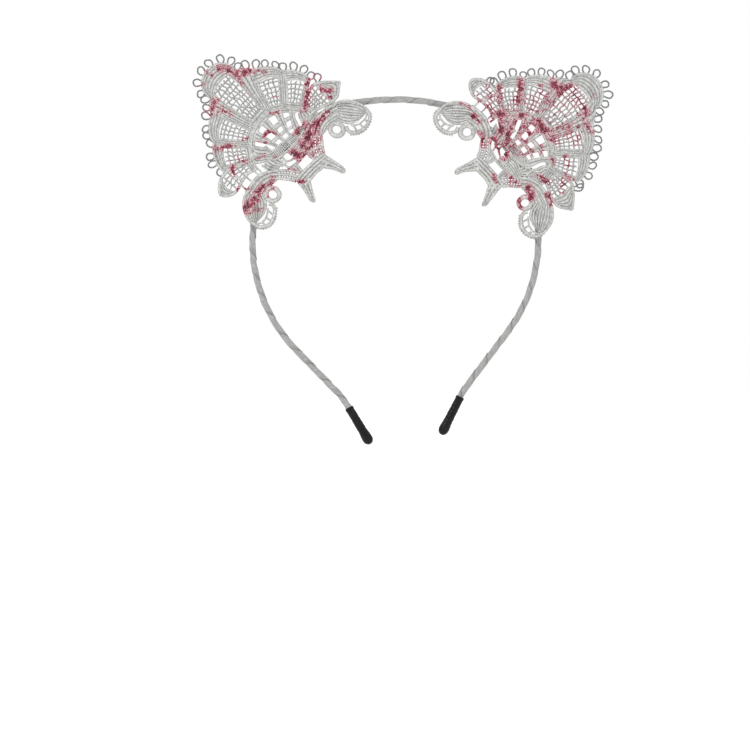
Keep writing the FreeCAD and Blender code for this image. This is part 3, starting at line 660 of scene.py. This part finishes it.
def band_line():
    """The whole band from the left tip to the right: (run, x, z, heading), with run 0 at the crown."""
    tables = []
    for side, sign in SIDES.items():
        runs, headings = [0], [0]
        for radius, last in BENDS[side]:
            runs.append(runs[-1] + radius * radians(last - headings[-1]))
            headings.append(last)
        for extra, heading in (
            (STRAIGHT_RUN[side], headings[-1]),
            (FLARE_RADIUS * radians(headings[-1] - TIP_HEADING[side]), TIP_HEADING[side]),
            (RUN_IN_CAP, TIP_HEADING[side]),
        ):
            runs.append(runs[-1] + extra)
            headings.append(heading)
        run = np.linspace(0, runs[-1], 4000)
        heading = np.radians(np.interp(run, runs, headings))
        step = run[1]
        x = np.concatenate([[0], np.cumsum((np.cos(heading[1:]) + np.cos(heading[:-1])) / 2 * step)])
        z = np.concatenate([[0], np.cumsum((np.sin(heading[1:]) + np.sin(heading[:-1])) / 2 * step)])
        tables.append(np.column_stack([sign * run, sign * x, WRAP_RADIUS - z, sign * heading]))
    return np.vstack([tables[0][:0:-1], tables[1]])


BAND = band_line()


def at_heading(side, heading):
    """The run along the band, from the crown, to where a side has this heading in its first bends."""
    sign = SIDES[side]
    table = BAND[BAND[:, 0] * sign >= 0]
    table = table[np.argsort(np.abs(table[:, 0]))]
    k = int(np.argmax(np.abs(table[:, 3]) >= radians(heading) - 1e-6))
    return table[k, 0]


def band_at(run):
    """The band's x, z and heading at a run."""
    return (np.interp(run, BAND[:, 0], BAND[:, k]) for k in (1, 2, 3))


def on_band(run, around, radius):
    """Points round the band: around is 0 on its outside and a quarter turn at its back."""
    x, z, heading = band_at(run)
    out = radius * np.cos(around)
    return np.stack([x + out * np.sin(heading), radius * np.sin(around), z + out * np.cos(heading)],
        axis=-1)


# The ribbon's pitch along the band and its own width. Its length for each turn follows from the pitch.
RIBBON_PITCH = 9.6
RIBBON_WIDTH = 10
LAP_STEP = 0.17
ROWS_PER_TURN = 56
RIBBON_COLUMNS = 26
RIBBON_ROUND = ROUND * WRAP_RADIUS
RIBBON_TURN = hypot(RIBBON_PITCH, RIBBON_ROUND)
RIBBON_OVERLAP = RIBBON_WIDTH * RIBBON_TURN / RIBBON_ROUND / RIBBON_PITCH - 1


def ribbon(name, start, end, nodes, material):
    """A stretch of the one ribbon, wound round the band from run to run and lapped over itself."""
    first, last = min(start, end), max(start, end)
    turns = np.arange(int((first / RIBBON_PITCH - 1.6) * ROWS_PER_TURN),
        int((last / RIBBON_PITCH + 0.3) * ROWS_PER_TURN))
    turn = turns[:, None] / ROWS_PER_TURN
    across = np.linspace(0, 1, RIBBON_COLUMNS)[None, :]
    drift = 0.05 * np.sin(turn * 1.7) + 0.03 * np.sin(turn * 4.3 + 1)
    wide = RIBBON_PITCH * (1 + RIBBON_OVERLAP)
    run = RIBBON_PITCH * (turn + drift) + wide * across
    around = ROUND * turn * np.ones_like(across)
    lap = RIBBON_OVERLAP / (1 + RIBBON_OVERLAP)
    proud = LAP_STEP * (1 - smoothstep(lap * 0.8, lap + 0.2, across))
    pucker = 0.05 * ripple(run * 0.35 - turn * 2, across * 9, 1.3, 5)
    pucker = pucker + 0.03 * ripple(turn * 9, across * 14, 1.6, 6)
    edge = 0.03 * np.sin(turn * 31) * np.exp(-across * 14)
    radius = WRAP_RADIUS - 0.02 + proud + pucker + edge
    inside = (run > first) & (run < last)
    held = np.clip(run, first, last)
    points = on_band(held, around, radius)
    many = len(turns)
    index = np.arange(many * RIBBON_COLUMNS).reshape(many, RIBBON_COLUMNS)
    quads = np.stack([index[:-1, :-1], index[:-1, 1:], index[1:, 1:], index[1:, :-1]], axis=-1)
    keep = inside[:-1, :-1] | inside[:-1, 1:] | inside[1:, 1:] | inside[1:, :-1]
    quads = quads[keep]
    used, quads = np.unique(quads, return_inverse=True)
    fibre = np.stack(np.broadcast_arrays(turn * 13, across * wide * 0.66, 0 * turn), axis=-1)
    values = {
        "fibre": fibre.reshape(-1, 3)[used],
        # Painted shade: edge is high along the ribbon's lapped edge, where its colour turns darker.
        "edge": (np.exp(-across * 22) * np.ones_like(turn)).reshape(-1)[used],
    }
    piece = made(name, points.reshape(-1, 3)[used] * MM, quads.reshape(-1, 4).tolist(), values, material)
    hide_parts(*nodes)
    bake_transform(piece)


def tip_cap(side, material):
    """The push-on rubber cap: rolled lip, dented neck, bulb end, and its wall's inside at the mouth."""
    sign = SIDES[side]
    mouth = sign * (abs(BAND[0 if sign < 0 else -1, 0]) - RUN_IN_CAP)
    profile = [(2.4, 1.4), (0.8, 1.4), (0, 1.42), (0, 1.75), (0.3, 1.92), (1, 1.93), (1.7, 1.84),
               (4, 1.86), (8, 1.98), (11, 2.05), (13, 2.18), (14.6, 2.38), (16.2, 2.42),
               (17.6, 2.18), (18.6, 1.45), (19.05, 0.6), (19.1, 0.02)]
    line = curve(profile, 150)
    along_cap, radius = line[:, 0][:, None], line[:, 1][:, None]
    around = np.linspace(0, ROUND, 49)[None, :-1]
    outer = smoothstep(1.5, 1.8, radius)
    seed = 41 if sign < 0 else 47
    wrinkle = 0.055 * ripple(along_cap + 1.5 * np.sin(around), around * 2.2, 1.6, seed)
    fold = 0.04 * np.sin(along_cap * 3.1 + 1.2 * np.sin(around + seed)) * smoothstep(2, 5, along_cap)
    fold = fold * (1 - smoothstep(12, 14.5, along_cap))
    radius = radius * (1 + 0.03 * np.cos(2 * around + 0.2 * along_cap)) + outer * (wrinkle + fold)
    heading = radians(TIP_HEADING[side]) * sign
    x, z, _ = band_at(mouth)
    out = radius * np.cos(around)
    points = np.stack(
        [
            x + sign * along_cap * cos(heading) + out * sin(heading),
            radius * np.sin(around),
            z - along_cap * sin(abs(heading)) + out * cos(heading),
        ],
        axis=-1,
    )
    work = Work(seed)
    fibres = np.stack(np.broadcast_arrays(along_cap, around * 2), axis=-1)
    work.rings(points, fibres, 1)
    piece = finished(f"{side}_rubber_cap", work, lambda p: p * MM, material, [f"{side}_tip_cap"])
    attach(piece, f"{side}_leg")


def binding_stitches(side, material):
    """A few turns of thread at each place where the lace is tied to the band."""
    sign = SIDES[side]
    work = Work(61 if sign < 0 else 67)
    for heading in STITCHED_AT[side]:
        middle = at_heading(side, heading)
        for k in range(4):
            turn = np.linspace(0, ROUND, 33)
            front = -np.sin(turn)
            reach_x = 1.75 * np.cos(turn)
            reach_y = np.where(front > 0, -2.95 * front, -1.72 * front)
            run = middle + (k - 1.5) * 0.5 + 0.22 * np.sin(turn + k)
            x, z, angle = band_at(run)
            line = np.column_stack([x + reach_x * np.sin(angle), reach_y, z + reach_x * np.cos(angle)])
            work.thread(line[::3], BINDING_RADIUS, wander=0.03)
    node = f"{side}_ear_binding_stitches"
    piece = finished(f"{side}_binding_threads", work, lambda p: p * MM, material, [node])
    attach(piece, f"{side}_shoulder")


# ---- materials


class Nodes:
    """A material's node tree, written as a few short calls."""

    def __init__(self, name, **sockets):
        self.material = bpy.data.materials.new(name)
        self.material.use_nodes = True
        self.tree = self.material.node_tree
        self.shader = self.tree.nodes["Principled BSDF"]
        for key, value in sockets.items():
            self.shader.inputs[key.replace("_", " ")].default_value = value

    def add(self, kind, inputs=None, **settings):
        made = self.tree.nodes.new(kind)
        for key, value in settings.items():
            setattr(made, key, value)
        for key, value in (inputs or {}).items():
            self.put(made.inputs[key], value)
        return made

    def put(self, socket, value):
        """Links an output to a socket, or sets the socket's constant."""
        if isinstance(value, bpy.types.NodeSocket):
            self.tree.links.new(value, socket)
        else:
            socket.default_value = value

    def attribute(self, name, output="Fac"):
        return self.add("ShaderNodeAttribute", attribute_name=name).outputs[output]

    def scaled(self, vector, scale):
        mapping = self.add("ShaderNodeMapping", {"Vector": vector, "Scale": scale})
        return mapping.outputs["Vector"]

    def noise(self, vector, scale, detail=3, rough=0.6):
        inputs = {"Vector": vector, "Scale": scale, "Detail": detail, "Roughness": rough}
        return self.add("ShaderNodeTexNoise", inputs).outputs["Fac"]

    def place(self):
        return self.add("ShaderNodeTexCoord").outputs["Object"]

    def plus(self, first, second):
        return self.math("ADD", first, second)

    def times(self, first, second):
        return self.math("MULTIPLY", first, second)

    def math(self, operation, *values, clamp=False):
        made = self.add("ShaderNodeMath", operation=operation, use_clamp=clamp)
        for socket, value in zip(made.inputs, values):
            self.put(socket, value)
        return made.outputs[0]

    def ramp(self, factor, stops):
        """Colours by place along a ramp. A single number is a grey."""
        made = self.add("ShaderNodeValToRGB", {"Fac": factor})
        elements = made.color_ramp.elements
        while len(elements) < len(stops):
            elements.new(0.5)
        for element, (place, colour) in zip(elements, stops):
            element.position = place
            colour = colour if isinstance(colour, tuple) else (colour,) * 3
            element.color = (*colour[:3], 1)
        return made.outputs["Color"]

    def mix(self, factor, first, second):
        made = self.add("ShaderNodeMix", data_type="RGBA")
        for key, value in ((0, factor), (6, first), (7, second)):
            self.put(made.inputs[key], value)
        return made.outputs[2]

    def link(self, output, socket):
        self.tree.links.new(output, self.shader.inputs[socket])

    def bump(self, height, strength, distance):
        inputs = {"Height": height, "Strength": strength, "Distance": distance}
        made = self.add("ShaderNodeBump", inputs)
        self.link(made.outputs["Normal"], "Normal")


def lace_thread(name, light, dark, seam):
    """Off-white embroidery thread with painted shade on its threads' sides and in its grooves, with red
    splashes where the stain says.
    """
    nodes = Nodes(name, Sheen_Weight=0.12, Sheen_Roughness=0.5, Specular_IOR_Level=0.3)
    fibre = nodes.attribute("fibre", "Vector")
    place = nodes.place()
    strand = nodes.noise(nodes.scaled(fibre, (14, 2.2, 1)), 1, 4)
    cloud = nodes.noise(place, 420, 4, 0.7)
    grain = nodes.noise(place, 1250, 2, 0.7)
    shade = nodes.plus(nodes.times(strand, 0.25), nodes.times(cloud, 0.35))
    shade = nodes.plus(shade, nodes.times(grain, 0.4))
    clean = nodes.ramp(shade, ((0.38, dark), (0.6, light)))
    # Painted shade: where crest is low, on the threads' sides and in their grooves, the colour turns to the
    # seam colour.
    crest = nodes.ramp(nodes.attribute("crest"), ((0.15, 0), (0.8, 1)))
    clean = nodes.mix(crest, seam, clean)
    wet, halo = nodes.attribute("stain"), nodes.attribute("halo")
    speckle = nodes.noise(place, 1500, 3, 0.8)
    patch = nodes.noise(place, 520, 2, 0.65)
    rough = nodes.plus(nodes.times(nodes.math("SUBTRACT", speckle, 0.5), 3.2),
                       nodes.times(nodes.math("SUBTRACT", patch, 0.5), 2.2))
    soaked = nodes.plus(wet, rough)
    soaked = nodes.times(soaked, nodes.math("MULTIPLY", wet, 3, clamp=True))
    tint = nodes.times(nodes.plus(halo, nodes.times(rough, 0.8)), halo)
    pink = nodes.ramp(tint, ((0.2, 0), (0.75, 0.7)))
    clean = nodes.mix(pink, clean, (0.52, 0.21, 0.25, 1))
    reds = ((0.6, (0.42, 0.05, 0.11)), (0.82, (0.30, 0.016, 0.055)), (0.97, (0.13, 0.008, 0.024)),
            (1, (0.07, 0.006, 0.014)))
    red = nodes.ramp(soaked, reds)
    nodes.link(nodes.mix(nodes.ramp(soaked, ((0.56, 0), (0.68, 1))), clean, red), "Base Color")
    nodes.link(nodes.ramp(soaked, ((0.3, 0.75), (0.8, 0.45))), "Roughness")
    fuzz = nodes.noise(nodes.scaled(fibre, (30, 5, 1)), 1, 3)
    nodes.bump(fuzz, 0.6, 0.00008)
    return nodes.material


def satin_ribbon():
    """Pale grey satin, streaked along the ribbon, finely ribbed, with painted shade along its lapped edge.
    """
    nodes = Nodes("satin_ribbon", Sheen_Weight=0.15, Sheen_Roughness=0.35, Specular_IOR_Level=0.45)
    fibre = nodes.attribute("fibre", "Vector")
    streak = nodes.noise(nodes.scaled(fibre, (0.35, 3.2, 1)), 1, 4)
    cloud = nodes.noise(nodes.scaled(fibre, (0.6, 0.6, 1)), 1, 2)
    shade = nodes.plus(nodes.times(streak, 0.65), nodes.times(cloud, 0.35))
    cloth = nodes.ramp(shade, ((0.34, (0.17, 0.172, 0.168)), (0.64, (0.36, 0.36, 0.35))))
    # Painted shade: the colour turns nearly black along the ribbon's lapped edge.
    edge = nodes.attribute("edge")
    nodes.link(nodes.mix(nodes.times(edge, 0.7), cloth, (0.07, 0.07, 0.07, 1)), "Base Color")
    nodes.link(nodes.ramp(streak, ((0.3, 0.32), (0.7, 0.50))), "Roughness")
    inputs = {"Vector": fibre, "Scale": 2.6, "Distortion": 0.4, "Detail": 1}
    weave = nodes.add("ShaderNodeTexWave", inputs, bands_direction="Y")
    height = nodes.plus(nodes.times(weave.outputs["Fac"], 0.5), streak)
    nodes.bump(height, 0.4, 0.00006)
    return nodes.material


def black_rubber():
    """Black rubber with a dusty, slightly pitted skin."""
    nodes = Nodes("black_rubber", Specular_IOR_Level=0.17)
    place = nodes.place()
    cloud = nodes.noise(place, 420, 4)
    black = nodes.ramp(cloud, ((0.3, (0.002, 0.002, 0.0025)), (0.75, (0.008, 0.008, 0.0095))))
    nodes.link(black, "Base Color")
    nodes.link(nodes.ramp(cloud, ((0.3, 0.24), (0.7, 0.42))), "Roughness")
    nodes.bump(nodes.noise(place, 1500, 3), 0.3, 0.00008)
    return nodes.material


def spring_steel():
    """Drawn steel wire, streaked by the die."""
    nodes = Nodes("spring_steel", Metallic=1)
    place = nodes.place()
    streak = nodes.noise(nodes.scaled(place, (300, 1800, 300)), 1, 4)
    nodes.link(nodes.ramp(streak, ((0.3, (0.42, 0.42, 0.43)), (0.7, (0.62, 0.61, 0.60)))), "Base Color")
    nodes.link(nodes.ramp(streak, ((0.3, 0.28), (0.7, 0.42))), "Roughness")
    nodes.bump(streak, 0.2, 0.00003)
    return nodes.material


def pale_floor():
    nodes = Nodes("pale_floor", Roughness=0.9, Specular_IOR_Level=0.1, Emission_Strength=0.35)
    nodes.shader.inputs["Emission Color"].default_value = (1, 1, 1, 1)
    place = nodes.place()
    nodes.link(nodes.ramp(nodes.noise(place, 3), ((0.3, 0.80), (0.7, 0.84))), "Base Color")
    return nodes.material


# ---- studio


VIEW_CENTRE = (-9.7, -122.6)
VIEW_WIDTH = 337.5
CAMERA_DISTANCE = 1600
SENSOR_WIDTH = 36
FLOOR_SIZE = 12
# The open band's caps hang lower than at rest, so the floor stands clear of them.
FLOOR_GAP = 0.007
AIM_HEIGHT = -0.06


def studio():
    """A pale floor, an even white surround, a soft key light and a weak fill, and the camera."""
    scene = bpy.context.scene
    scene.view_settings.view_transform = "Standard"
    world = bpy.data.worlds.new("white_surround")
    world.use_nodes = True
    background = world.node_tree.nodes["Background"]
    background.inputs["Color"].default_value = (1, 1, 1, 1)
    background.inputs["Strength"].default_value = 1
    scene.world = world

    mesh = bpy.data.meshes.new("floor")
    half = FLOOR_SIZE / 2
    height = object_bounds()[0][2] - FLOOR_GAP
    corners = [(x * half, y * half, height) for x, y in ((-1, -1), (1, -1), (1, 1), (-1, 1))]
    mesh.from_pydata(corners, [], [(0, 1, 2, 3)])
    mesh.materials.append(pale_floor())
    floor = bpy.data.objects.new("floor", mesh)
    scene.collection.objects.link(floor)

    for name, place, size, power in (
        ("key", (-0.7, -1.1, 0.9), 0.7, 9),
        ("fill", (1, -0.9, 0.1), 0.9, 2),
    ):
        data = bpy.data.lights.new(name, "AREA")
        data.size = size
        data.energy = power
        lamp = bpy.data.objects.new(name, data)
        lamp.location = place
        aim = floor.location.copy()
        aim.z = AIM_HEIGHT
        lamp.rotation_euler = (aim - lamp.location).to_track_quat("-Z", "Y").to_euler()
        scene.collection.objects.link(lamp)

    data = bpy.data.cameras.new("camera")
    data.sensor_width = SENSOR_WIDTH
    data.lens = SENSOR_WIDTH * CAMERA_DISTANCE / VIEW_WIDTH
    data.clip_end = 50
    camera = bpy.data.objects.new("camera", data)
    camera.location = (VIEW_CENTRE[0] * MM, -CAMERA_DISTANCE * MM, VIEW_CENTRE[1] * MM)
    camera.rotation_euler = (pi / 2, 0, 0)
    scene.collection.objects.link(camera)
    scene.camera = camera


# ---- the pieces


def grown(cells, times):
    """A mask of cells grown by a cell on each side, so many times."""
    for _ in range(times):
        wider = cells.copy()
        wider[1:] |= cells[:-1]
        wider[:-1] |= cells[1:]
        wider[:, 1:] |= cells[:, :-1]
        wider[:, :-1] |= cells[:, 1:]
        cells = wider
    return cells


def outline_area(flat):
    """The area inside an element's outline as it lies flat in (u, v), with its net and windows."""
    place = ((flat - flat.min(axis=0)) / OUTLINE_CELL).astype(int) + OUTLINE_REACH + 2
    cells = np.zeros(place.max(axis=0) + OUTLINE_REACH + 3, bool)
    cells[place[:, 0], place[:, 1]] = True
    joined = grown(cells, OUTLINE_REACH)
    outside = np.zeros_like(joined)
    outside[0, 0] = True
    while True:
        wider = grown(outside, 1) & ~joined
        if (wider == outside).all():
            break
        outside = wider
    inside = ~grown(outside, OUTLINE_REACH) | cells
    return float(inside.sum()) * OUTLINE_CELL**2


def sheet_of(work):
    """The area inside one lace element's flat outline in (u, v), worked out but not used."""
    flat = np.vstack(work.points)[:, :2]
    outline_area(flat) * MM**2


def ear(side, lace, shaded_picot_lace):
    """One ear: each embroidered element as a piece of its own, all in one uneven sheet."""
    turn = FAN_TURN[side]
    sign = SIDES[side]
    place = on_ear(side)
    upper = (
        (19, 2.3, 31.2, 4.7),
        ((37.6, 21.5), (36.9, 27), (36, 33), (34.8, 38)),
        (0.14, 0.31, 0.48, 0.65, 0.82, 0.96),
    )
    lower = (
        (19.4, 2.4, 29, 4.3),
        ((33.8, 45), (33.8, 51), (33, 58), (31.8, 63)),
        (0.18, 0.4, 0.61, 0.82),
    )
    makers = {
        "fan_hub": (fan_hub, turn),
        "tip_petal": (tip_petal, turn),
        "forked_tail": (forked_tail,),
        "picot_edging": (picot_edging, turn),
    }
    for which, hand in (("inner", -sign), ("outer", sign)):
        makers[f"upper_{which}_petal"] = (petal, hand, turn, SEAMS[:2], VALLEYS[:2], *upper)
        makers[f"lower_{which}_petal"] = (petal, hand, turn, SEAMS[1:], VALLEYS[1:], *lower)
        makers[f"corner_{which}_petal"] = (pointed_corner if hand > 0 else rounded_corner, hand)
        makers[f"{which}_scroll"] = (scroll, hand)
    done = {}
    for k, label in enumerate(sorted(makers)):
        work = Work(100 * (sign + 2) + k)
        maker, *how = makers[label]
        maker(work, *how)
        node = f"{side}_ear_{label}"
        edging = label == "picot_edging"
        # The picot loops take the darker copy of the thread, painted shade along the lace's outline.
        piece = finished(f"{node}_lace", work, place, shaded_picot_lace if edging else lace, [node], side)
        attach(piece, f"{side}_shoulder")
        done[label] = (piece, work)
    loops, _ = done.pop("picot_edging")
    for label, (piece, work) in done.items():
        sheet_of(work)


def band():
    """The ribbon in four stretches, and the two caps."""
    satin, rubber = satin_ribbon(), black_rubber()
    for side, sign in SIDES.items():
        hinge = at_heading(side, SHOULDER_HINGE[side])
        knee = at_heading(side, LEG_HINGE[side])
        middle = (hinge + knee) / 2
        last = BAND[0 if sign < 0 else -1, 0]
        upper_nodes = [f"{side}_shoulder_ribbon_wrap"] + (["crown_ribbon_wrap"] if sign < 0 else [])
        ribbon(f"{side}_crown_ribbon", 0, middle, upper_nodes,
               satin)
        ribbon(f"{side}_leg_ribbon", middle, last,
               [f"{side}_leg_ribbon_wrap"], satin)
        tip_cap(side, rubber)


studio()
steel = spring_steel()
for name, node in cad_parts.items():
    if name.endswith("_wire"):
        for held in node.material_slots:
            held.material = steel
# Each lace thread's third colour is the painted shade of its threads' sides and grooves.
lace = lace_thread("lace_thread", (0.60, 0.595, 0.575, 1), (0.27, 0.275, 0.265, 1),
    (0.19, 0.195, 0.19, 1))
# The picot loops are the same thread as the lace, in a copy darker all over: painted shade along the lace's
# outline.
loops = lace_thread("picot_thread", (0.30, 0.305, 0.30, 1), (0.17, 0.172, 0.17, 1),
    (0.08, 0.082, 0.08, 1))
band()
for side in SIDES:
    ear(side, lace, loops)
    binding_stitches(side, lace)
